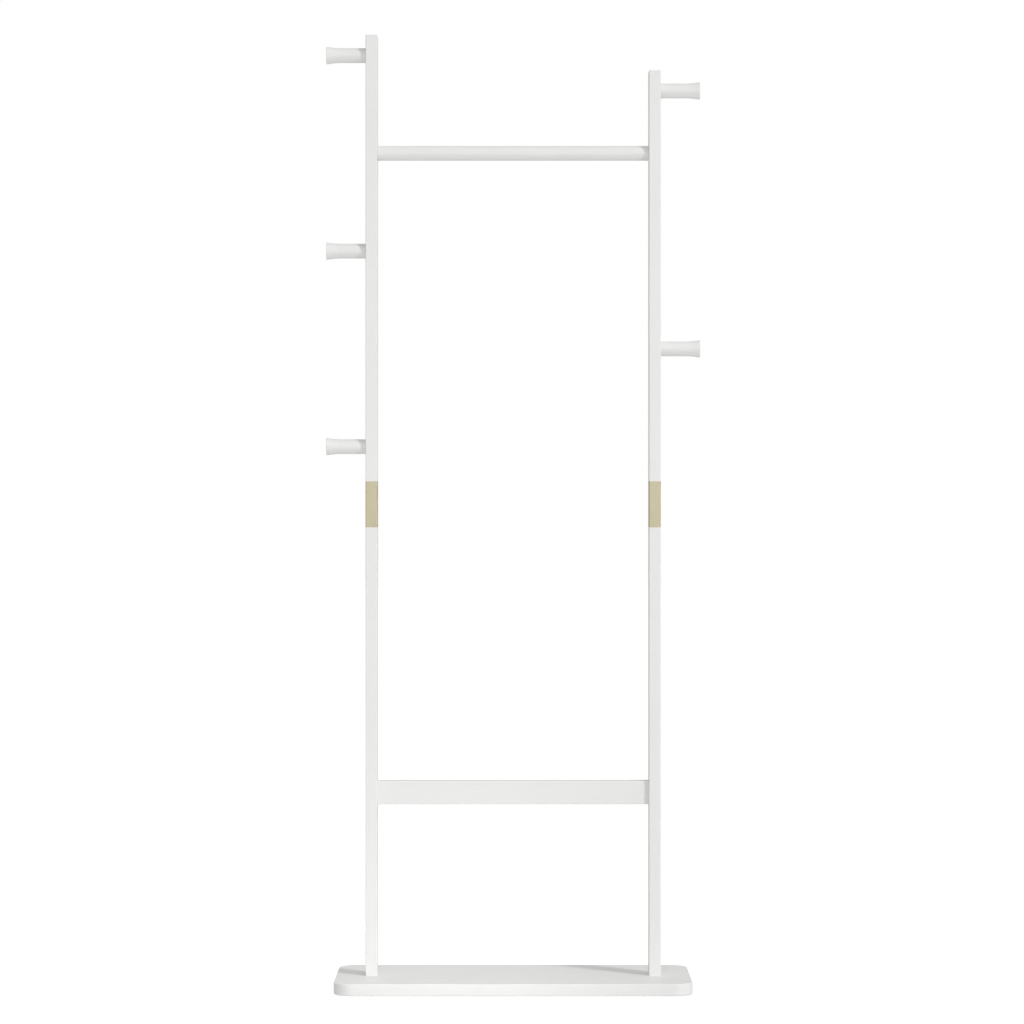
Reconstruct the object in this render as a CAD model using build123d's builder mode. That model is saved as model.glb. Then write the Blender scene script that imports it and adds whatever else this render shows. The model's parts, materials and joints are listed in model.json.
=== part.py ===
from build123d import *
import os

# A free-standing coat rack: a flat rounded base, two posts of uneven height that are each
# joined halfway up by a flush metal ferrule, a round hanging rail, a low stretcher, and
# flared pegs on the outer sides of the posts.
#
# Millimetres. The origin is on the floor under the middle of the base, +X is the object's
# right, -Y its front and +Z is up. Left and right pieces come from one function each, with
# side = -1 on the left and +1 on the right. Screw threads are left plain.

# ---------------------------------------------------------------- driving dimensions

pad_diameter = 34.0
pad_thickness = 2.0
pad_edge_round = 0.5
pad_spacing_x = 500.0
pad_spacing_y = 150.0

base_length = 600.0
base_depth = 240.0
base_thickness = 20.0
base_corner_radius = 30.0
base_edge_round = 1.5

post_span = 500.0  # across the outer faces of the two posts
post_width = 20.0
post_depth = 40.0
post_edge_round = 1.5
post_end_round = 1.0
left_post_top = 1615.0  # above the floor
right_post_top = 1555.0

ferrule_height = 78.0
ferrule_centre = 820.0  # above the floor, where the two sections of a post meet
ferrule_wall = 1.2
tenon_clearance = 0.1
tenon_edge_round = 0.5

rail_diameter = 25.0
rail_centre = 1416.0

stretcher_height = 40.0
stretcher_depth = 25.0
stretcher_centre = 331.5
stretcher_edge_round = 1.5

peg_root_diameter = 25.0
peg_tip_diameter = 30.0
peg_length = 67.0
peg_flare_length = 25.0
peg_tip_round = 0.8
peg_drop = 33.0  # from the top of a post to its highest peg
peg_pitch = {-1: 332.0, 1: 438.0}
peg_count = {-1: 3, 1: 2}

# Hardware
fit_clearance = 0.05  # radial, between a round piece and its bore
socket_spare = 1.0  # how much deeper a blind socket is than the piece in it

bolt_diameter = 6.0
bolt_hole_diameter = 6.6
bolt_tip_chamfer = 0.6
hexagon_sides = 6

base_bolt_length = 25.0
base_bolt_spacing = 20.0
base_bolt_head_diameter = 10.0
base_bolt_head_height = 6.0
base_bolt_key = 5.0  # across the flats of the hexagon socket
base_bolt_key_depth = 3.0
base_bolt_head_round = 0.6
counterbore_diameter = 13.0
counterbore_depth = 9.0
washer_diameter = 12.0
washer_bore = 6.4
washer_thickness = 1.6

flat_head_diameter = 12.0
flat_head_land = 0.4
flat_head_key = 4.0
flat_head_key_depth = 2.4
countersink_angle = 90.0
countersink_gap = 0.1
rail_bolt_length = 30.0
stretcher_bolt_length = 50.0

insert_diameter = 9.0
insert_root_diameter = 7.8
insert_length = 14.0
insert_ridges = 5
insert_ridge_crest = 0.9  # along the insert: the flat top of a ridge,
insert_ridge_fall = 0.5  # its steep side below that,
insert_ridge_rise = 0.3  # and the side that rises to the next ridge

barrel_nut_diameter = 10.0
barrel_nut_length = 16.0
barrel_nut_setback = 22.0  # from the stretcher's end to the axis of the nut
barrel_nut_slot_width = 1.2
barrel_nut_slot_depth = 1.5
stretcher_bolt_spare = 5.0

stretcher_dowel_diameter = 6.0
stretcher_dowel_length = 24.0
stretcher_dowel_spacing = 24.0
stretcher_dowel_in_post = 10.0

post_dowel_diameter = 8.0
post_dowel_length = 40.0
post_dowel_spacing = 18.0
dowel_chamfer = 0.8

stud_machine_length = 13.0
stud_wood_length = 22.0
stud_wood_diameter = 5.0

ferrule_screw_diameter = 3.0
ferrule_screw_length = 12.0
ferrule_screw_offset = 28.0  # above and below the middle of the ferrule
ferrule_screw_head_diameter = 5.6
ferrule_screw_head_height = 1.6
ferrule_screw_head_round = 0.96
ferrule_screw_recess_length = 3.0
ferrule_screw_recess_width = 0.6
ferrule_screw_recess_depth = 0.9

# ---------------------------------------------------------------- places worked out from them

base_top = pad_thickness + base_thickness
post_outer_x = post_span / 2
post_inner_x = post_outer_x - post_width
post_x = post_outer_x - post_width / 2
ferrule_bottom = ferrule_centre - ferrule_height / 2
ferrule_top = ferrule_centre + ferrule_height / 2
post_top = {-1: left_post_top, 1: right_post_top}
peg_heights = {
    side: [post_top[side] - peg_drop - i * peg_pitch[side] for i in range(peg_count[side])]
    for side in (-1, 1)
}
ferrule_screw_heights = [ferrule_centre - ferrule_screw_offset, ferrule_centre + ferrule_screw_offset]
base_bolt_offsets = [-base_bolt_spacing / 2, base_bolt_spacing / 2]
post_dowel_offsets = [-post_dowel_spacing / 2, post_dowel_spacing / 2]
stretcher_dowel_heights = [
    stretcher_centre - stretcher_dowel_spacing / 2,
    stretcher_centre + stretcher_dowel_spacing / 2,
]
side_names = {-1: "left", 1: "right"}


def outward(side, x, z):
    """A plane at x on one side of the object, facing away from its middle, with local y up."""
    return Plane(origin=(side * x, 0, z), x_dir=(0, side, 0), z_dir=(side, 0, 0))


def inward(side, x, z):
    """The same, facing the middle of the object."""
    return Plane(origin=(side * x, 0, z), x_dir=(0, -side, 0), z_dir=(-side, 0, 0))


def backward(side, z):
    """A plane on the rear face of a post, facing backwards."""
    return Plane(origin=(side * post_x, post_depth / 2, z), x_dir=(-1, 0, 0), z_dir=(0, 1, 0))


def downward(x, y, z):
    """A horizontal plane that faces down."""
    return Plane(origin=(x, y, z), z_dir=(0, 0, -1))


def upward(x, y, z):
    """A horizontal plane that faces up."""
    return Plane(origin=(x, y, z), z_dir=(0, 0, 1))


def save(piece, label):
    """Name one finished piece and write it."""
    piece.part.label = label
    export_step(piece.part, f"parts/{label}.step")


# ---------------------------------------------------------------- base and pads


def make_base_plate():
    with BuildPart() as base_plate:
        with BuildSketch(Plane.XY.offset(pad_thickness)):
            RectangleRounded(base_length, base_depth, base_corner_radius)
        extrude(amount=base_thickness)
        rims = base_plate.edges().group_by(Axis.Z)
        fillet(rims[0] + rims[-1], base_edge_round)
        for side in (-1, 1):
            with Locations(*(downward(side * post_x, y, pad_thickness) for y in base_bolt_offsets)):
                CounterBoreHole(bolt_hole_diameter / 2, counterbore_diameter / 2, counterbore_depth)
    save(base_plate, "base_plate")


def make_floor_pad(x, y, label):
    with BuildPart() as floor_pad:
        with BuildSketch(Plane.XY):
            with Locations((x, y)):
                Circle(pad_diameter / 2)
        extrude(amount=pad_thickness)
        fillet(floor_pad.edges().sort_by(Axis.Z)[0], pad_edge_round)
    save(floor_pad, label)


# ---------------------------------------------------------------- posts


def post_section(side, shrink, corner):
    """The outline of a post, or of its tenon where it is shrunk all round."""
    with Locations((side * post_x, 0)):
        RectangleRounded(post_width - 2 * shrink, post_depth - 2 * shrink, corner)


def make_lower_post(side):
    tenon_shrink = ferrule_wall + tenon_clearance
    with BuildPart() as lower_post:
        with BuildSketch(Plane.XY.offset(base_top)):
            post_section(side, 0, post_edge_round)
        extrude(amount=ferrule_bottom - base_top)
        with BuildSketch(Plane.XY.offset(ferrule_bottom)):
            post_section(side, tenon_shrink, tenon_edge_round)
        extrude(amount=ferrule_centre - ferrule_bottom)
        with Locations(*(downward(side * post_x, y, base_top) for y in base_bolt_offsets)):
            Hole(insert_diameter / 2 + fit_clearance, insert_length + socket_spare)
        with Locations(*(upward(side * post_x, y, ferrule_centre) for y in post_dowel_offsets)):
            Hole(post_dowel_diameter / 2 + fit_clearance, (post_dowel_length + socket_spare) / 2)
        with Locations(backward(side, ferrule_screw_heights[0])):
            Hole(ferrule_screw_diameter / 2 + fit_clearance, ferrule_screw_length + socket_spare)
        with Locations(outward(side, post_outer_x, stretcher_centre)):
            CounterSinkHole(
                bolt_hole_diameter / 2,
                flat_head_diameter / 2 + flat_head_land + countersink_gap,
                post_width,
                countersink_angle,
            )
        with Locations(*(inward(side, post_inner_x, z) for z in stretcher_dowel_heights)):
            Hole(stretcher_dowel_diameter / 2 + fit_clearance, stretcher_dowel_in_post + socket_spare / 2)
    save(lower_post, f"{side_names[side]}_lower_post")


def make_upper_post(side):
    tenon_shrink = ferrule_wall + tenon_clearance
    with BuildPart() as upper_post:
        with BuildSketch(Plane.XY.offset(ferrule_centre)):
            post_section(side, tenon_shrink, tenon_edge_round)
        extrude(amount=ferrule_top - ferrule_centre)
        with BuildSketch(Plane.XY.offset(ferrule_top)):
            post_section(side, 0, post_edge_round)
        extrude(amount=post_top[side] - ferrule_top)
        fillet(upper_post.edges().group_by(Axis.Z)[-1], post_end_round)
        with Locations(*(downward(side * post_x, y, ferrule_centre) for y in post_dowel_offsets)):
            Hole(post_dowel_diameter / 2 + fit_clearance, (post_dowel_length + socket_spare) / 2)
        with Locations(backward(side, ferrule_screw_heights[1])):
            Hole(ferrule_screw_diameter / 2 + fit_clearance, ferrule_screw_length + socket_spare)
        with Locations(outward(side, post_outer_x, rail_centre)):
            CounterSinkHole(
                bolt_hole_diameter / 2,
                flat_head_diameter / 2 + flat_head_land + countersink_gap,
                post_width,
                countersink_angle,
            )
        with Locations(*(outward(side, post_outer_x, z) for z in peg_heights[side])):
            Hole(insert_diameter / 2 + fit_clearance, insert_length + socket_spare)
    save(upper_post, f"{side_names[side]}_upper_post")


def make_post_dowels(side):
    with BuildPart() as post_dowels:
        with BuildSketch(Plane.XY.offset(ferrule_centre)):
            with Locations(*((side * post_x, y) for y in post_dowel_offsets)):
                Circle(post_dowel_diameter / 2)
        extrude(amount=post_dowel_length / 2, both=True)
        chamfer(post_dowels.edges().filter_by(GeomType.CIRCLE), dowel_chamfer)
    save(post_dowels, f"{side_names[side]}_post_dowels")


def make_ferrule(side):
    with BuildPart() as ferrule:
        with BuildSketch(Plane.XY.offset(ferrule_bottom)):
            post_section(side, 0, post_edge_round)
            with Locations((side * post_x, 0)):
                RectangleRounded(
                    post_width - 2 * ferrule_wall,
                    post_depth - 2 * ferrule_wall,
                    tenon_edge_round,
                    mode=Mode.SUBTRACT,
                )
        extrude(amount=ferrule_height)
        with Locations(*(backward(side, z) for z in ferrule_screw_heights)):
            Hole(ferrule_screw_diameter / 2 + fit_clearance, 2 * ferrule_wall)
    save(ferrule, f"{side_names[side]}_ferrule")


def make_ferrule_screws(side):
    """Two small round-headed wood screws that hold the ferrule to both sections of the post."""
    head_radius = ferrule_screw_head_diameter / 2
    with BuildPart() as ferrule_screws:
        for z in ferrule_screw_heights:
            rear_face = backward(side, z)
            with BuildSketch(rear_face):
                Circle(ferrule_screw_diameter / 2)
            extrude(amount=-ferrule_screw_length)
            with BuildSketch(rear_face):
                Circle(head_radius)
            head = extrude(amount=ferrule_screw_head_height)
            head_rim = head.edges().filter_by(GeomType.CIRCLE).sort_by(Axis.Y)[-1]
            fillet(head_rim, ferrule_screw_head_round)
            with BuildSketch(rear_face.offset(ferrule_screw_head_height)):
                Rectangle(ferrule_screw_recess_length, ferrule_screw_recess_width)
                Rectangle(ferrule_screw_recess_width, ferrule_screw_recess_length)
            extrude(amount=-ferrule_screw_recess_depth, mode=Mode.SUBTRACT)
    save(ferrule_screws, f"{side_names[side]}_ferrule_screws")


# ---------------------------------------------------------------- rail and stretcher


def make_hanging_rail():
    with BuildPart() as hanging_rail:
        with BuildSketch(inward(-1, post_inner_x, rail_centre)):
            Circle(rail_diameter / 2)
        extrude(amount=2 * post_inner_x)
        with Locations(*(outward(side, post_inner_x, rail_centre) for side in (-1, 1))):
            Hole(insert_diameter / 2 + fit_clearance, insert_length + socket_spare)
    save(hanging_rail, "hanging_rail")


def make_lower_stretcher():
    nut_hole_depth = stretcher_height / 2 + barrel_nut_length / 2
    bolt_hole_depth = stretcher_bolt_length - post_width + stretcher_bolt_spare
    dowel_in_stretcher = stretcher_dowel_length - stretcher_dowel_in_post
    with BuildPart() as lower_stretcher:
        with BuildSketch(inward(-1, post_inner_x, stretcher_centre)):
            RectangleRounded(stretcher_depth, stretcher_height, stretcher_edge_round)
        extrude(amount=2 * post_inner_x)
        for side in (-1, 1):
            nut_x = side * (post_inner_x - barrel_nut_setback)
            with Locations(outward(side, post_inner_x, stretcher_centre)):
                Hole(bolt_hole_diameter / 2, bolt_hole_depth)
            with Locations(*(outward(side, post_inner_x, z) for z in stretcher_dowel_heights)):
                Hole(stretcher_dowel_diameter / 2 + fit_clearance, dowel_in_stretcher + socket_spare / 2)
            with Locations(downward(nut_x, 0, stretcher_centre - stretcher_height / 2)):
                Hole(barrel_nut_diameter / 2 + fit_clearance, nut_hole_depth)
    save(lower_stretcher, "lower_stretcher")


def make_barrel_nut(side):
    """A steel cross dowel, pushed up into the stretcher from below, with a slot for turning it."""
    nut_x = side * (post_inner_x - barrel_nut_setback)
    nut_bottom = stretcher_centre - barrel_nut_length / 2
    with BuildPart() as barrel_nut:
        with BuildSketch(Plane.XY.offset(nut_bottom)):
            with Locations((nut_x, 0)):
                Circle(barrel_nut_diameter / 2)
        extrude(amount=barrel_nut_length)
        with BuildSketch(Plane.XY.offset(nut_bottom)):
            with Locations((nut_x, 0)):
                Rectangle(barrel_nut_diameter, barrel_nut_slot_width)
        extrude(amount=barrel_nut_slot_depth, mode=Mode.SUBTRACT)
        with Locations(outward(side, post_inner_x, stretcher_centre)):
            Hole(bolt_diameter / 2 + fit_clearance, 2 * barrel_nut_setback)
    save(barrel_nut, f"{side_names[side]}_barrel_nut")


def make_stretcher_dowels(side):
    with BuildPart() as stretcher_dowels:
        for z in stretcher_dowel_heights:
            with BuildSketch(inward(side, post_inner_x + stretcher_dowel_in_post, z)):
                Circle(stretcher_dowel_diameter / 2)
            extrude(amount=stretcher_dowel_length)
        chamfer(stretcher_dowels.edges().filter_by(GeomType.CIRCLE), dowel_chamfer)
    save(stretcher_dowels, f"{side_names[side]}_stretcher_dowels")


# ---------------------------------------------------------------- bolts, washers and inserts


def make_flat_head_bolt(side, z, length, label):
    """A countersunk bolt through a post, its head flush with the post's outer face."""
    head_radius = flat_head_diameter / 2
    shank_radius = bolt_diameter / 2
    cone_end = flat_head_land + head_radius - shank_radius
    outer_face = outward(side, post_outer_x, z)
    with BuildPart() as flat_head_bolt:
        with BuildSketch(Plane(origin=outer_face.origin, x_dir=(-side, 0, 0), z_dir=(0, -side, 0))):
            with BuildLine():
                Polyline(
                    (0, 0),
                    (0, head_radius),
                    (flat_head_land, head_radius),
                    (cone_end, shank_radius),
                    (length - bolt_tip_chamfer, shank_radius),
                    (length, shank_radius - bolt_tip_chamfer),
                    (length, 0),
                    close=True,
                )
            make_face()
        revolve(axis=Axis(outer_face.origin, (side, 0, 0)))
        with BuildSketch(outer_face):
            RegularPolygon(flat_head_key / 2, hexagon_sides, major_radius=False)
        extrude(amount=-flat_head_key_depth, mode=Mode.SUBTRACT)
    save(flat_head_bolt, label)


def make_base_bolts(side):
    """Two socket-head bolts, up through the base and into the foot of one post."""
    seat = pad_thickness + counterbore_depth - washer_thickness
    with BuildPart() as base_bolts:
        for y in base_bolt_offsets:
            under_head = downward(side * post_x, y, seat)
            with BuildSketch(under_head):
                Circle(base_bolt_head_diameter / 2)
            head = extrude(amount=base_bolt_head_height)
            fillet(head.edges().filter_by(GeomType.CIRCLE).sort_by(Axis.Z)[0], base_bolt_head_round)
            with BuildSketch(under_head):
                Circle(bolt_diameter / 2)
            shank = extrude(amount=-base_bolt_length)
            chamfer(shank.edges().filter_by(GeomType.CIRCLE).sort_by(Axis.Z)[-1], bolt_tip_chamfer)
            with BuildSketch(under_head.offset(base_bolt_head_height)):
                RegularPolygon(base_bolt_key / 2, hexagon_sides, major_radius=False)
            extrude(amount=-base_bolt_key_depth, mode=Mode.SUBTRACT)
    save(base_bolts, f"{side_names[side]}_base_bolts")


def make_base_washers(side):
    seat = pad_thickness + counterbore_depth
    with BuildPart() as base_washers:
        with BuildSketch(Plane.XY.offset(seat)):
            with Locations(*((side * post_x, y) for y in base_bolt_offsets)):
                Circle(washer_diameter / 2)
                Circle(washer_bore / 2, mode=Mode.SUBTRACT)
        extrude(amount=-washer_thickness)
    save(base_washers, f"{side_names[side]}_base_washers")


def make_inserts(mouths, label):
    """Threaded insert nuts with a ridged outside, one sunk flush into the wood at each mouth."""
    outer = insert_diameter / 2
    root = insert_root_diameter / 2
    bore = bolt_diameter / 2 + fit_clearance
    pitch = insert_length / insert_ridges
    outline = [(bore, 0)]
    for i in range(insert_ridges):
        ridge_top = -i * pitch
        crest_end = ridge_top - insert_ridge_crest
        outline += [(outer, ridge_top), (outer, crest_end)]
        outline += [(root, crest_end - insert_ridge_fall), (root, ridge_top - pitch + insert_ridge_rise)]
    outline += [(root, -insert_length), (bore, -insert_length)]
    with BuildPart() as inserts:
        for mouth in mouths:
            with BuildSketch(Plane(origin=mouth.origin, x_dir=mouth.x_dir, z_dir=-mouth.y_dir)):
                with BuildLine():
                    Polyline(*outline, close=True)
                make_face()
            revolve(axis=Axis(mouth.origin, mouth.z_dir))
    save(inserts, label)


# ---------------------------------------------------------------- pegs


def make_peg(side, z, label):
    """A turned peg: a plain round root that swells in a gentle hollow curve to a wider flat tip."""
    root_radius = peg_root_diameter / 2
    tip_radius = peg_tip_diameter / 2
    flare_start = peg_length - peg_flare_length
    outer_face = outward(side, post_outer_x, z)
    with BuildPart() as peg:
        with BuildSketch(Plane(origin=outer_face.origin, x_dir=(side, 0, 0), z_dir=(0, -side, 0))):
            with BuildLine():
                root_line = Polyline((0, 0), (0, root_radius), (flare_start, root_radius))
                flare = TangentArc(root_line @ 1, (peg_length, tip_radius), tangent=(1, 0))
                Polyline(flare @ 1, (peg_length, 0), (0, 0))
            make_face()
        revolve(axis=Axis(outer_face.origin, (side, 0, 0)))
        tip_rim = peg.edges().filter_by(GeomType.CIRCLE).sort_by(Axis.X)[-1 if side > 0 else 0]
        fillet(tip_rim, peg_tip_round)
        with Locations(inward(side, post_outer_x, z)):
            Hole(stud_wood_diameter / 2 + fit_clearance, stud_wood_length + socket_spare)
    save(peg, label)


def make_peg_stud(side, z, label):
    """A double-ended stud: a machine thread in the post's insert and a wood thread in the peg."""
    outer_face = outward(side, post_outer_x, z)
    with BuildPart() as peg_stud:
        with BuildSketch(outer_face):
            Circle(bolt_diameter / 2)
        extrude(amount=-stud_machine_length)
        with BuildSketch(outer_face):
            Circle(stud_wood_diameter / 2)
        extrude(amount=stud_wood_length)
        ends = peg_stud.edges().filter_by(GeomType.CIRCLE).sort_by(Axis.X)
        chamfer([ends[0], ends[-1]], bolt_tip_chamfer)
    save(peg_stud, label)


# ---------------------------------------------------------------- the whole rack


def make_side(side):
    """Everything that one post carries."""
    name = side_names[side]
    make_lower_post(side)
    make_upper_post(side)
    make_post_dowels(side)
    make_ferrule(side)
    make_ferrule_screws(side)
    make_base_bolts(side)
    make_base_washers(side)
    make_inserts([downward(side * post_x, y, base_top) for y in base_bolt_offsets], f"{name}_foot_inserts")
    make_flat_head_bolt(side, rail_centre, rail_bolt_length, f"{name}_rail_bolt")
    make_inserts([outward(side, post_inner_x, rail_centre)], f"{name}_rail_insert")
    make_flat_head_bolt(side, stretcher_centre, stretcher_bolt_length, f"{name}_stretcher_bolt")
    make_barrel_nut(side)
    make_stretcher_dowels(side)
    for number, z in enumerate(peg_heights[side], start=1):
        make_peg(side, z, f"{name}_peg_{number}")
        make_peg_stud(side, z, f"{name}_peg_stud_{number}")
        make_inserts([outward(side, post_outer_x, z)], f"{name}_peg_insert_{number}")


def make_floor_pads():
    for row, y_sign in (("front", -1), ("rear", 1)):
        for side in (-1, 1):
            pad_x = side * pad_spacing_x / 2
            pad_y = y_sign * pad_spacing_y / 2
            make_floor_pad(pad_x, pad_y, f"{row}_{side_names[side]}_pad")


os.makedirs("parts", exist_ok=True)
make_base_plate()
make_floor_pads()
make_hanging_rail()
make_lower_stretcher()
make_side(-1)
make_side(1)
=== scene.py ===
"""The looks of a free-standing coat rack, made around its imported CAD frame.

Metres, in the frame of the CAD model: +X is the rack's right, -Y its front, +Z up, and the
origin is on the floor under the middle of the base. The pegs, rail, dowels, bolts, studs,
washers and pads are turned here on their CAD axes. The other pieces keep their CAD meshes.
"""

import json
import math

import bmesh
import bpy
from mathutils import Matrix, Vector


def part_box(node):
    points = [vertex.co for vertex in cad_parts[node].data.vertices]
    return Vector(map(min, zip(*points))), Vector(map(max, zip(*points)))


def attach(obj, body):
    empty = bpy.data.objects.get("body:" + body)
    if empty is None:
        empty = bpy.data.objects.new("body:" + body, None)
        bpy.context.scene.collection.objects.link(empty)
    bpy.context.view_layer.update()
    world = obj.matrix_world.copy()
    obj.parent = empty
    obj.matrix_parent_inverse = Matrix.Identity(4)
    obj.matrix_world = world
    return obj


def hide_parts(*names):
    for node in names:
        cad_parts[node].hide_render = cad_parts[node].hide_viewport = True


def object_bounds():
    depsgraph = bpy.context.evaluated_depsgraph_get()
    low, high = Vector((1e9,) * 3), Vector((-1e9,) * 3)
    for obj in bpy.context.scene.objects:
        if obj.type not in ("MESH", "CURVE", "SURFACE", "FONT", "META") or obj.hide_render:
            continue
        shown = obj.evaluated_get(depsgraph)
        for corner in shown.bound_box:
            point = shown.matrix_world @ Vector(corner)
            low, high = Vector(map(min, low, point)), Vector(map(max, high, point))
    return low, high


MM = 0.001

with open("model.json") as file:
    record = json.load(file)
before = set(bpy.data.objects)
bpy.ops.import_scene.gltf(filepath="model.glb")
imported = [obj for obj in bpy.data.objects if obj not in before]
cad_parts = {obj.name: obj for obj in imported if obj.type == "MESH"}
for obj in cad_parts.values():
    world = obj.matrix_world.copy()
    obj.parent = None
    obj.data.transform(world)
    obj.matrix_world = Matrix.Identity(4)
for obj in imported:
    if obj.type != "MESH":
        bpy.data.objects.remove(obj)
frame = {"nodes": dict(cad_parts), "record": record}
cad_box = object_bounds()
nodes = frame["nodes"]
slot_of = {entry["node"]: entry["material_slot"] for entry in frame["record"]["subparts"]}

# ---------------------------------------------------------------- shader helpers


class Shader:
    """One node material, with short ways to add and join its nodes."""

    def __init__(self, name):
        self.material = bpy.data.materials.new(name)
        self.material.use_nodes = True
        self.tree = self.material.node_tree
        self.principled = self.tree.nodes["Principled BSDF"]

    def add(self, kind, inputs=(), **settings):
        """Adds a node, with its settings, and joins or sets its inputs from a dict."""
        node = self.tree.nodes.new("ShaderNode" + kind)
        for key, value in settings.items():
            setattr(node, key, value)
        for key, value in dict(inputs).items():
            self.put(node.inputs[key], value)
        return node

    def put(self, socket, value):
        """Joins a socket to an output, or sets it to a plain value."""
        if isinstance(value, bpy.types.NodeSocket):
            self.tree.links.new(value, socket)
        else:
            socket.default_value = value

    def set(self, **inputs):
        """Sets or joins inputs of the main shader: Base_Color stands for 'Base Color'."""
        for key, value in inputs.items():
            self.put(self.principled.inputs[key.replace("_", " ")], value)

    def place(self, stretch=(1, 1, 1)):
        """The object's own coordinates in metres, scaled along each axis."""
        coordinates = self.add("TexCoord")
        mapping = self.add("Mapping", {"Vector": coordinates.outputs["Object"], "Scale": stretch})
        return mapping.outputs["Vector"]

    def noise(self, where, scale, detail=2.0, roughness=0.5):
        """Soft noise, with scale in waves for each metre."""
        texture = self.add(
            "TexNoise", {"Vector": where, "Scale": scale, "Detail": detail, "Roughness": roughness}
        )
        return texture.outputs["Fac"]

    def spread(self, value, low, high, start=0.0, stop=1.0):
        """Takes a value from start..stop to low..high, and clamps it there."""
        inputs = {"Value": value, "From Min": start, "From Max": stop, "To Min": low, "To Max": high}
        return self.add("MapRange", inputs).outputs["Result"]

    def times(self, a, b):
        node = self.add("Math", operation="MULTIPLY")
        self.put(node.inputs[0], a)
        self.put(node.inputs[1], b)
        return node.outputs["Value"]

    def mix(self, factor, first, second):
        """A colour that goes from first to second as factor goes from 0 to 1."""
        node = self.add("Mix", data_type="RGBA")
        colours = [socket for socket in node.inputs if socket.type == "RGBA"]
        self.put(node.inputs["Factor"], factor)
        for socket, colour in zip(colours, (first, second)):
            self.put(socket, colour if isinstance(colour, bpy.types.NodeSocket) else (*colour, 1.0))
        return next(socket for socket in node.outputs if socket.type == "RGBA")

    def bump(self, height, distance, below=None):
        """Relief from a height of 0..1, with distance in metres, laid over an earlier relief."""
        inputs = {"Height": height, "Distance": distance, "Strength": 1.0}
        if below is not None:
            inputs["Normal"] = below
        return self.add("Bump", inputs).outputs["Normal"]

    def edges(self, radius):
        """0 on flat and gently curved faces, rising to 1 along edges within radius of them."""
        bevel = self.add("Bevel", {"Radius": radius}, samples=6)
        normal = self.add("NewGeometry").outputs["Normal"]
        dot = self.add("VectorMath", operation="DOT_PRODUCT")
        self.put(dot.inputs[0], bevel.outputs["Normal"])
        self.put(dot.inputs[1], normal)
        return self.spread(dot.outputs["Value"], 1.0, 0.0, start=0.80, stop=0.998)


# ---------------------------------------------------------------- materials

GRAIN_FINE = 900.0
GRAIN_LONG = 14.0


def make_white_lacquer(name, grain):
    """Satin white lacquer on fine-grained wood, whose grain runs along one axis.

    The wood's pores show faintly through the paint, over the soft ripple of a sprayed coat,
    and the paint is a little thinner and warmer on the edges.
    """
    s = Shader(name)
    along_grain = tuple(GRAIN_LONG if axis == grain else GRAIN_FINE for axis in "XYZ")
    pores = s.noise(s.place(along_grain), 1.0, detail=3.0, roughness=0.6)
    ripple = s.noise(s.place(), 260.0, detail=1.0)
    cloud = s.noise(s.place(), 7.0, detail=3.0)
    speck = s.noise(s.place(), 3000.0, detail=1.0)
    fresh = s.mix(s.spread(cloud, 0.0, 1.0, 0.3, 0.7), (0.796, 0.797, 0.784), (0.813, 0.813, 0.799))
    grained = s.mix(s.spread(pores, 0.10, 0.0, 0.32, 0.5), fresh, (0.70, 0.69, 0.66))
    edge_toned = s.mix(s.times(s.edges(1.2 * MM), 0.35), grained, (0.74, 0.725, 0.695))
    gloss = s.spread(ripple, 0.46, 0.56, 0.3, 0.7)
    relief = s.bump(ripple, 0.012 * MM)
    relief = s.bump(pores, 0.010 * MM, relief)
    relief = s.bump(speck, 0.002 * MM, relief)
    s.set(Base_Color=edge_toned, Roughness=gloss, Normal=relief)
    s.set(Coat_Weight=0.08, Coat_Roughness=0.22)
    return s.material


def make_champagne_gold():
    """A drawn metal sleeve, matte champagne and brushed around the post, with a painted edge highlight.
    """
    s = Shader("champagne_gold")
    brushing = s.noise(s.place((40.0, 40.0, 4200.0)), 1.0, detail=4.0, roughness=0.7)
    cloud = s.noise(s.place(), 30.0, detail=3.0)
    tint = s.mix(s.spread(cloud, 0.0, 1.0, 0.3, 0.7), (0.551, 0.505, 0.357), (0.581, 0.532, 0.376))
    lined = s.mix(s.spread(brushing, 0.55, 0.0, 0.34, 0.56), tint, (0.400, 0.362, 0.246))
    # Lighter colour along the edges: a painted highlight.
    edge_toned = s.mix(s.times(s.edges(0.5 * MM), 0.6), lined, (0.72, 0.69, 0.54))
    s.set(Base_Color=edge_toned, Metallic=0.88, Roughness=s.spread(brushing, 0.34, 0.56, 0.3, 0.7))
    s.set(Normal=s.bump(brushing, 0.030 * MM))
    return s.material


def make_zinc_steel():
    """Bright zinc plating: cool grey with a faint straw and blue cast in patches, and painted edge
    highlights.
    """
    s = Shader("zinc_steel")
    patches = s.noise(s.place(), 160.0, detail=3.0)
    grit = s.noise(s.place(), 2600.0, detail=2.0)
    cast = s.mix(s.spread(patches, 0.0, 1.0, 0.35, 0.65), (0.60, 0.63, 0.67), (0.68, 0.665, 0.62))
    # Lighter colour along the edges: a painted highlight.
    cast_with_painted_highlight = s.mix(s.times(s.edges(0.3 * MM), 0.5), cast, (0.80, 0.80, 0.79))
    s.set(Base_Color=cast_with_painted_highlight, Metallic=1.0, Roughness=s.spread(grit, 0.24, 0.42, 0.3, 0.7))
    s.set(Normal=s.bump(grit, 0.004 * MM))
    return s.material


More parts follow.
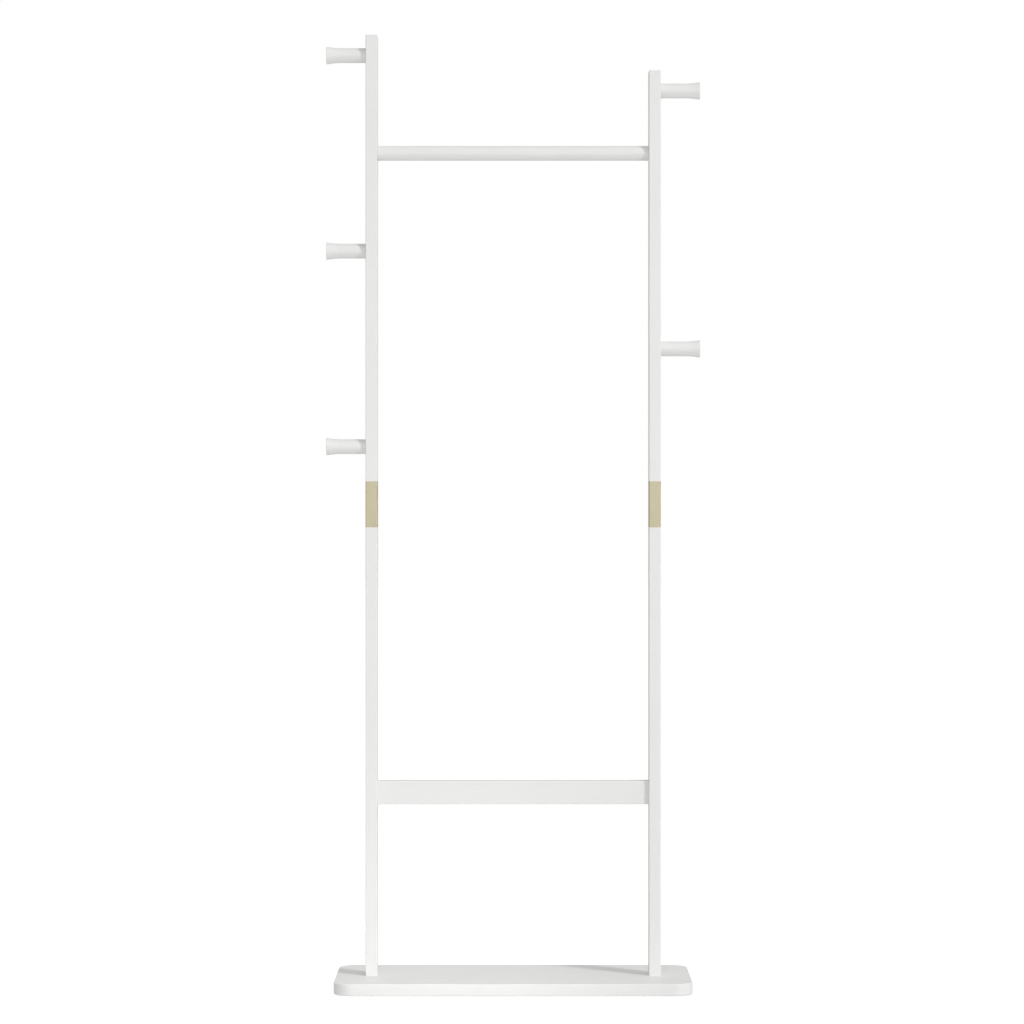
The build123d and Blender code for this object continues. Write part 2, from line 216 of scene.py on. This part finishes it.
def make_beech():
    """Raw beech: pale pinkish brown with short darker flecks along the grain."""
    s = Shader("beech_dowel")
    flecks = s.noise(s.place((1500.0, 1500.0, 180.0)), 1.0, detail=2.0)
    bands = s.noise(s.place((420.0, 420.0, 16.0)), 1.0, detail=4.0, roughness=0.6)
    wood = s.mix(s.spread(bands, 0.0, 1.0, 0.3, 0.7), (0.56, 0.38, 0.23), (0.70, 0.51, 0.33))
    flecked = s.mix(s.spread(flecks, 0.55, 0.0, 0.28, 0.42), wood, (0.36, 0.21, 0.12))
    s.set(Base_Color=flecked, Roughness=s.spread(bands, 0.60, 0.74))
    s.set(Normal=s.bump(flecks, 0.03 * MM))
    return s.material


def make_rubber():
    """Soft anti-slip rubber, matte, with a fine pebbled skin and a little dust."""
    s = Shader("anti_slip_rubber")
    pebbles = s.add("TexVoronoi", {"Vector": s.place(), "Scale": 1400.0}).outputs["Distance"]
    dust = s.noise(s.place(), 90.0, detail=4.0, roughness=0.6)
    tone = s.mix(s.spread(dust, 0.0, 0.5, 0.45, 0.75), (0.085, 0.085, 0.088), (0.20, 0.195, 0.19))
    s.set(Base_Color=tone, Roughness=s.spread(dust, 0.70, 0.88), Specular_IOR_Level=0.35)
    s.set(Normal=s.bump(pebbles, 0.05 * MM))
    return s.material


upright_lacquer = make_white_lacquer("white_lacquer_upright", "Z")
level_lacquer = make_white_lacquer("white_lacquer_level", "X")
materials = {
    "gold_ferrule": make_champagne_gold(),
    "zinc_steel": make_zinc_steel(),
    "beech_dowel": make_beech(),
    "anti_slip_rubber": make_rubber(),
}


def material_for(node_name):
    """A post's grain stands up, and every other white piece's runs across the rack."""
    slot = slot_of[node_name]
    if slot in materials:
        return materials[slot]
    return upright_lacquer if node_name.endswith("_post") else level_lacquer


for node_name, node in nodes.items():
    for place in node.material_slots:
        place.material = material_for(node_name)

# ---------------------------------------------------------------- turned pieces

WOOD_SEGMENTS = 96
STEEL_SEGMENTS = 48
RIM_STEPS = 6
FINE_RIM_STEPS = 4
SHARP_ANGLE = 32.0
THREAD_SHARP_ANGLE = 70.0


def turn(bm, base, axis, profile, segments):
    """Adds a turned body to a mesh in work, from a profile of (distance along the axis, radius).

    base is the point on the axis that the distances start from. A radius may be a function
    of the angle round the axis. A first radius of 0 starts an open profile that also ends in
    0, with a single point at each end, and any other profile joins up with its own start.
    """
    turned = Vector((0, 0, 1)).rotation_difference(Vector(axis)).to_matrix().to_4x4()
    to_place = Matrix.Translation(base) @ turned
    rings = []
    for along, radius in profile:
        if radius == 0.0:
            rings.append([bm.verts.new(to_place @ Vector((0, 0, along)))])
            continue
        ring = []
        for i in range(segments):
            angle = 2 * math.pi * i / segments
            reach = radius(angle) if callable(radius) else radius
            point = Vector((reach * math.cos(angle), reach * math.sin(angle), along))
            ring.append(bm.verts.new(to_place @ point))
        rings.append(ring)
    following = rings[1:] if len(rings[0]) == 1 else rings[1:] + rings[:1]
    for first, second in zip(rings, following):
        for i in range(segments):
            j = (i + 1) % segments
            corners = [first[i % len(first)], first[j % len(first)]]
            corners += [second[j % len(second)], second[i % len(second)]]
            bm.faces.new(list(dict.fromkeys(corners)))


def finish_piece(bm, node_name, sharp_angle=SHARP_ANGLE):
    """Makes a piece of a mesh in work, in place of a CAD node and with its material and body."""
    bmesh.ops.recalc_face_normals(bm, faces=bm.faces)
    for face in bm.faces:
        face.smooth = True
    for edge in bm.edges:
        edge.smooth = edge.calc_face_angle(0.0) < math.radians(sharp_angle)
    name = node_name + "_turned"
    mesh = bpy.data.meshes.new(name)
    bm.to_mesh(mesh)
    bm.free()
    piece = bpy.data.objects.new(name, mesh)
    bpy.context.scene.collection.objects.link(piece)
    mesh.materials.append(material_for(node_name))
    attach(piece, "root")
    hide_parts(node_name)


def arc(along, radius, bend, start, stop, steps):
    """Profile points round a bend centred at (along, radius), with angles in degrees from the axis."""
    points = []
    for i in range(steps + 1):
        angle = math.radians(start + (stop - start) * i / steps)
        points.append((along + bend * math.cos(angle), radius + bend * math.sin(angle)))
    return points


def socket(depth, section):
    """Profile points of a flat-bottomed hole into the end of a piece."""
    return [(depth, 0.0), (depth, section), (0.0, section)]


def nodes_named(part):
    """The nodes whose names contain this part, in alphabetical order."""
    return [name for name in sorted(nodes) if part in name]


# Pegs: a socket for the stud, a plain root, and a hollow flare to a flat tip.
PEG_ROOT_RADIUS = 12.5 * MM
PEG_TIP_RADIUS = 15.0 * MM
PEG_FLARE = 25.0 * MM
PEG_RIM = 0.8 * MM
PEG_ROOT_CHAMFER = 0.3 * MM
PEG_SOCKET_RADIUS = 2.55 * MM
PEG_SOCKET_DEPTH = 23.0 * MM
FLARE_STEPS = 16


def make_peg(node_name):
    """A turned peg, whose flare is an arc that leaves its plain root smoothly."""
    low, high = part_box(node_name)
    outward = math.copysign(1.0, low.x)
    length = high.x - low.x
    root_x = high.x if outward < 0 else low.x
    rise = PEG_TIP_RADIUS - PEG_ROOT_RADIUS
    flare_radius = (PEG_FLARE**2 + rise**2) / (2 * rise)
    profile = socket(PEG_SOCKET_DEPTH, PEG_SOCKET_RADIUS)
    profile += [(0.0, PEG_ROOT_RADIUS - PEG_ROOT_CHAMFER), (PEG_ROOT_CHAMFER, PEG_ROOT_RADIUS)]
    for i in range(FLARE_STEPS + 1):
        run = (PEG_FLARE - PEG_RIM) * i / FLARE_STEPS
        radius = PEG_ROOT_RADIUS + flare_radius - math.sqrt(flare_radius**2 - run**2)
        profile.append((length - PEG_FLARE + run, radius))
    profile += arc(length - PEG_RIM, profile[-1][1] - PEG_RIM, PEG_RIM, 90, 0, RIM_STEPS)[1:]
    profile.append((length, 0.0))
    bm = bmesh.new()
    turn(bm, Vector((root_x, 0.0, (low.z + high.z) / 2)), (outward, 0, 0), profile, WOOD_SEGMENTS)
    finish_piece(bm, node_name)


# The rail: a round bar with a socket in each end for its insert.
RAIL_SOCKET_RADIUS = 4.55 * MM
RAIL_SOCKET_DEPTH = 15.0 * MM
RAIL_CHAMFER = 0.3 * MM


def make_rail(node_name):
    low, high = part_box(node_name)
    length = high.x - low.x
    radius = (high.z - low.z) / 2
    half = socket(RAIL_SOCKET_DEPTH, RAIL_SOCKET_RADIUS)
    half += [(0.0, radius - RAIL_CHAMFER), (RAIL_CHAMFER, radius)]
    profile = half + [(length - along, reach) for along, reach in reversed(half)]
    bm = bmesh.new()
    turn(bm, Vector((low.x, 0.0, (low.z + high.z) / 2)), (1, 0, 0), profile, WOOD_SEGMENTS)
    finish_piece(bm, node_name)


# Dowels: beech pins with straight flutes for the glue.
POST_DOWEL_DIAMETER = 8.0 * MM
STRETCHER_DOWEL_DIAMETER = 6.0 * MM
DOWEL_CHAMFER = 0.8 * MM
FLUTES = 16
FLUTE_DEPTH = 0.30 * MM


def fluted(radius):
    """A round section with shallow flutes, as a function of the angle."""
    def reach(angle):
        return radius - FLUTE_DEPTH * ((1 + math.cos(FLUTES * angle)) / 2) ** 2
    return reach


X, Y, Z = range(3)


def make_dowels(node_name, axis, diameter, gap_axis):
    """The pair of dowels of a node, which lie along one axis and stand apart along another."""
    low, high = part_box(node_name)
    length = (high - low)[axis]
    radius = diameter / 2
    tip = fluted(radius - DOWEL_CHAMFER)
    profile = [(0.0, 0.0), (0.0, tip), (DOWEL_CHAMFER, fluted(radius))]
    profile += [(length - DOWEL_CHAMFER, fluted(radius)), (length, tip), (length, 0.0)]
    bm = bmesh.new()
    for place in (low[gap_axis] + radius, high[gap_axis] - radius):
        base = (low + high) / 2
        base[axis] = low[axis]
        base[gap_axis] = place
        turn(bm, base, [float(i == axis) for i in range(3)], profile, WOOD_SEGMENTS)
    finish_piece(bm, node_name)


# Screw threads: a groove that winds round the shank and fades out at both ends. CREST and ROOT
# are where its slope starts and ends, from 0 at the middle of the groove to 1 at the crest.
COARSE_PITCH = 1.0 * MM
COARSE_DEPTH = 0.60 * MM
WOOD_PITCH = 2.2 * MM
WOOD_DEPTH = 0.75 * MM
THREAD_CREST = 0.875
THREAD_ROOT = 0.25
RINGS_PER_TURN = 8


def grooved(radius, depth, turns):
    """The section of a thread at a height of so many turns, as a function of the angle."""
    def reach(angle):
        from_root = abs(2 * ((turns - angle / (2 * math.pi)) % 1.0) - 1)
        share = (THREAD_CREST - from_root) / (THREAD_CREST - THREAD_ROOT)
        return radius - depth * min(1.0, max(0.0, share))
    return reach


def thread(start, stop, radius, pitch, depth):
    """Profile points of a right-handed thread from start to stop along the axis."""
    steps = round((stop - start) / pitch * RINGS_PER_TURN)
    points = []
    for i in range(steps + 1):
        along = start + (stop - start) * i / steps
        fade = min(1.0, (along - start) / pitch, (stop - along) / pitch)
        points.append((along, grooved(radius, depth * fade, along / pitch)))
    return points


def hexagon(key):
    """A hexagon's section, key across its flats, as a function of the angle."""
    def reach(angle):
        return key / 2 / math.cos(angle % (math.pi / 3) - math.pi / 6)
    return reach


SHANK_RADIUS = 3.0 * MM
TIP_CHAMFER = 0.6 * MM
SOCKET_HEAD_RADIUS = 5.0 * MM
SOCKET_HEAD_HEIGHT = 6.0 * MM
SOCKET_HEAD_ROUND = 0.6 * MM
SOCKET_HEAD_KEY = 5.0 * MM
SOCKET_HEAD_KEY_DEPTH = 3.0 * MM
FLAT_HEAD_RADIUS = 6.0 * MM
FLAT_HEAD_LAND = 0.4 * MM
FLAT_HEAD_KEY = 4.0 * MM
FLAT_HEAD_KEY_DEPTH = 2.4 * MM
RAIL_BOLT_THREAD = 18.0 * MM
STRETCHER_BOLT_THREAD = 24.0 * MM
STUD_WOOD_LENGTH = 22.0 * MM
STUD_WOOD_RADIUS = 2.5 * MM


def shank_end(start, length, radius, pitch, depth):
    """The threaded end of a shank, with its chamfered tip."""
    points = thread(start, length - TIP_CHAMFER, radius, pitch, depth)
    return points + [(length, radius - TIP_CHAMFER), (length, 0.0)]


def make_socket_bolts(node_name):
    """The pair of socket-head bolts under one post, heads down."""
    low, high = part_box(node_name)
    length = high.z - low.z - SOCKET_HEAD_HEIGHT
    floor_of_key = SOCKET_HEAD_KEY_DEPTH - SOCKET_HEAD_HEIGHT
    key = hexagon(SOCKET_HEAD_KEY)
    profile = [(floor_of_key, 0.0), (floor_of_key, key), (-SOCKET_HEAD_HEIGHT, key)]
    profile += arc(SOCKET_HEAD_ROUND - SOCKET_HEAD_HEIGHT, SOCKET_HEAD_RADIUS - SOCKET_HEAD_ROUND,
                   SOCKET_HEAD_ROUND, 180, 90, FINE_RIM_STEPS)
    profile += [(0.0, SOCKET_HEAD_RADIUS), (0.0, SHANK_RADIUS)]
    profile += shank_end(COARSE_PITCH, length, SHANK_RADIUS, COARSE_PITCH, COARSE_DEPTH)
    bm = bmesh.new()
    for y in (low.y + SOCKET_HEAD_RADIUS, high.y - SOCKET_HEAD_RADIUS):
        under_head = Vector(((low.x + high.x) / 2, y, low.z + SOCKET_HEAD_HEIGHT))
        turn(bm, under_head, (0, 0, 1), profile, STEEL_SEGMENTS)
    finish_piece(bm, node_name, THREAD_SHARP_ANGLE)


def make_flat_head_bolt(node_name, threaded_length):
    """A countersunk bolt that lies across the rack, its head in a post's outer face."""
    low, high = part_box(node_name)
    inward = -math.copysign(1.0, low.x)
    length = high.x - low.x
    key = hexagon(FLAT_HEAD_KEY)
    cone_end = FLAT_HEAD_LAND + FLAT_HEAD_RADIUS - SHANK_RADIUS
    profile = socket(FLAT_HEAD_KEY_DEPTH, key)
    profile += [(0.0, FLAT_HEAD_RADIUS), (FLAT_HEAD_LAND, FLAT_HEAD_RADIUS), (cone_end, SHANK_RADIUS)]
    profile += shank_end(length - threaded_length, length, SHANK_RADIUS, COARSE_PITCH, COARSE_DEPTH)
    head = Vector((low.x if inward > 0 else high.x, 0.0, (low.z + high.z) / 2))
    bm = bmesh.new()
    turn(bm, head, (inward, 0, 0), profile, STEEL_SEGMENTS)
    finish_piece(bm, node_name, THREAD_SHARP_ANGLE)


def make_stud(node_name):
    """A double-ended stud: a machine thread towards the post and a wood thread towards the peg."""
    low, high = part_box(node_name)
    outward = math.copysign(1.0, low.x)
    machine_length = high.x - low.x - STUD_WOOD_LENGTH
    machine_tip = TIP_CHAMFER - machine_length
    profile = [(-machine_length, 0.0), (-machine_length, SHANK_RADIUS - TIP_CHAMFER)]
    profile += thread(machine_tip, -COARSE_PITCH, SHANK_RADIUS, COARSE_PITCH, COARSE_DEPTH)
    profile += [(0.0, SHANK_RADIUS), (0.0, STUD_WOOD_RADIUS)]
    profile += shank_end(WOOD_PITCH / 2, STUD_WOOD_LENGTH, STUD_WOOD_RADIUS, WOOD_PITCH, WOOD_DEPTH)
    face_x = low.x + machine_length if outward > 0 else high.x - machine_length
    bm = bmesh.new()
    turn(bm, Vector((face_x, 0.0, (low.z + high.z) / 2)), (outward, 0, 0), profile, STEEL_SEGMENTS)
    finish_piece(bm, node_name, THREAD_SHARP_ANGLE)


# Washers and pads.
WASHER_BORE_RADIUS = 3.2 * MM
WASHER_RADIUS = 6.0 * MM
WASHER_ROUND = 0.2 * MM
PAD_ROUND = 0.5 * MM
PAD_TOP_CHAMFER = 0.2 * MM
PAD_GROOVES = 5
PAD_GROOVE_SPACING = 2.8 * MM
PAD_GROOVE_WIDTH = 0.8 * MM
PAD_GROOVE_DEPTH = 0.5 * MM


def make_washers(node_name):
    low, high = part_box(node_name)
    thickness = high.z - low.z
    rim = WASHER_RADIUS - WASHER_ROUND
    profile = [(0.0, WASHER_BORE_RADIUS)]
    profile += arc(WASHER_ROUND, rim, WASHER_ROUND, 180, 90, FINE_RIM_STEPS)
    profile += arc(thickness - WASHER_ROUND, rim, WASHER_ROUND, 90, 0, FINE_RIM_STEPS)
    profile += [(thickness, WASHER_BORE_RADIUS)]
    bm = bmesh.new()
    for y in (low.y + WASHER_RADIUS, high.y - WASHER_RADIUS):
        turn(bm, Vector(((low.x + high.x) / 2, y, low.z)), (0, 0, 1), profile, STEEL_SEGMENTS)
    finish_piece(bm, node_name)


def make_pad(node_name):
    """A rubber disc with a rounded rim, and ring grooves in its underside for grip."""
    low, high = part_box(node_name)
    radius = (high.x - low.x) / 2
    thickness = high.z - low.z
    profile = [(0.0, 0.0)]
    slope = PAD_GROOVE_WIDTH / 4
    for i in range(1, PAD_GROOVES + 1):
        inner = i * PAD_GROOVE_SPACING - PAD_GROOVE_WIDTH / 2
        outer = i * PAD_GROOVE_SPACING + PAD_GROOVE_WIDTH / 2
        profile += [(0.0, inner), (PAD_GROOVE_DEPTH, inner + slope)]
        profile += [(PAD_GROOVE_DEPTH, outer - slope), (0.0, outer)]
    profile += arc(PAD_ROUND, radius - PAD_ROUND, PAD_ROUND, 180, 90, RIM_STEPS)
    profile += [(thickness - PAD_TOP_CHAMFER, radius), (thickness, radius - PAD_TOP_CHAMFER)]
    profile += [(thickness, 0.0)]
    centre = (low + high) / 2
    bm = bmesh.new()
    turn(bm, Vector((centre.x, centre.y, low.z)), (0, 0, 1), profile, WOOD_SEGMENTS)
    finish_piece(bm, node_name)


for node_name in nodes_named("_peg_"):
    if slot_of[node_name] == "white_lacquer":
        make_peg(node_name)
make_rail("hanging_rail")
for node_name in nodes_named("_post_dowels"):
    make_dowels(node_name, axis=Z, diameter=POST_DOWEL_DIAMETER, gap_axis=Y)
for node_name in nodes_named("_stretcher_dowels"):
    make_dowels(node_name, axis=X, diameter=STRETCHER_DOWEL_DIAMETER, gap_axis=Z)
for node_name in nodes_named("_base_bolts"):
    make_socket_bolts(node_name)
for node_name in nodes_named("_rail_bolt"):
    make_flat_head_bolt(node_name, RAIL_BOLT_THREAD)
for node_name in nodes_named("_stretcher_bolt"):
    make_flat_head_bolt(node_name, STRETCHER_BOLT_THREAD)
for node_name in nodes_named("_peg_stud_"):
    make_stud(node_name)
for node_name in nodes_named("_base_washers"):
    make_washers(node_name)
for node_name in nodes_named("_pad"):
    make_pad(node_name)

# ---------------------------------------------------------------- floor


FLOOR_SIZE = 60.0
FLOOR_GLOW = 0.40
FLOOR_SHOWN = 0.90


def make_floor():
    """A plain white floor. It gives back less light than it shows, as a cut-out picture's does."""
    bpy.ops.mesh.primitive_plane_add(size=FLOOR_SIZE)
    floor = bpy.context.object
    floor.name = "floor"
    s = Shader("floor")
    seen = s.add("LightPath").outputs["Is Camera Ray"]
    s.set(Base_Color=(0.25, 0.25, 0.25, 1.0), Roughness=1.0, Specular_IOR_Level=0.0)
    s.set(Emission_Color=(1.0, 1.0, 1.0, 1.0), Emission_Strength=s.spread(seen, FLOOR_GLOW, FLOOR_SHOWN))
    floor.data.materials.append(s.material)


make_floor()

# ---------------------------------------------------------------- light


def make_world(strength):
    """Even white surroundings, which show as pure white behind the rack."""
    world = bpy.data.worlds.new("studio")
    bpy.context.scene.world = world
    world.use_nodes = True
    tree = world.node_tree
    background = tree.nodes["Background"]
    background.inputs["Color"].default_value = (1.0, 1.0, 1.0, 1.0)
    seen = tree.nodes.new("ShaderNodeLightPath").outputs["Is Camera Ray"]
    across = tree.nodes.new("ShaderNodeMapRange")
    across.inputs["To Min"].default_value = strength
    across.inputs["To Max"].default_value = 1.0
    tree.links.new(seen, across.inputs["Value"])
    tree.links.new(across.outputs["Result"], background.inputs["Strength"])


def aim(light, place, target):
    light.location = place
    light.rotation_euler = (Vector(target) - Vector(place)).to_track_quat("-Z", "Y").to_euler()


def make_softbox(name, place, target, size, power, spread=180):
    """A square area light. Spread is the angle of its beam, narrower than 180 behind a grid."""
    data = bpy.data.lights.new(name, "AREA")
    data.shape = "SQUARE"
    data.size = size
    data.energy = power
    data.spread = math.radians(spread)
    light = bpy.data.objects.new(name, data)
    light.visible_camera = False
    bpy.context.scene.collection.objects.link(light)
    aim(light, place, target)


def make_key(azimuth, elevation, spread, strength):
    """A distant key light from the front right. Azimuth is from -Y towards +X."""
    data = bpy.data.lights.new("key", "SUN")
    data.angle = math.radians(spread)
    data.energy = strength
    light = bpy.data.objects.new("key", data)
    bpy.context.scene.collection.objects.link(light)
    a, e = math.radians(azimuth), math.radians(elevation)
    place = (math.sin(a) * math.cos(e), -math.cos(a) * math.cos(e), math.sin(e))
    aim(light, place, (0, 0, 0))


middle = (0.0, 0.0, (cad_box[0].z + cad_box[1].z) / 2)
base_front = (-0.10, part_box("base_plate")[0].y, 0.01)
make_world(0.55)
make_key(azimuth=50, elevation=50, spread=9, strength=1.02)
make_softbox("low_key", (3.45, -2.90, 0.50), middle, 0.5, 32)
make_softbox("front_box", (0.0, -4.0, 1.6), middle, 1.6, 21)
make_softbox("rear_left_box", (-3.0, 4.0, 1.5), middle, 2.5, 5)
make_softbox("rear_right_box", (3.0, 4.0, 1.5), middle, 2.5, 11)
make_softbox("base_box", (-0.10, -1.40, 0.70), base_front, 0.3, 0.17, spread=30)
make_softbox("floor_bounce", (-0.9, -1.0, 0.002), (-0.9, -1.0, 1.0), 1.2, 3.3)

# ---------------------------------------------------------------- camera


CAMERA_LENS = 118.0
CAMERA_PLACE = (-0.002, -5.70, middle[2] - 0.0005)


def make_camera():
    """A level camera well in front of the rack, at half its height."""
    data = bpy.data.cameras.new("camera")
    data.lens = CAMERA_LENS
    camera = bpy.data.objects.new("camera", data)
    camera.location = CAMERA_PLACE
    camera.rotation_euler = (math.radians(90), 0, 0)
    bpy.context.scene.collection.objects.link(camera)
    bpy.context.scene.camera = camera


make_camera()
bpy.context.scene.view_settings.view_transform = "Standard"
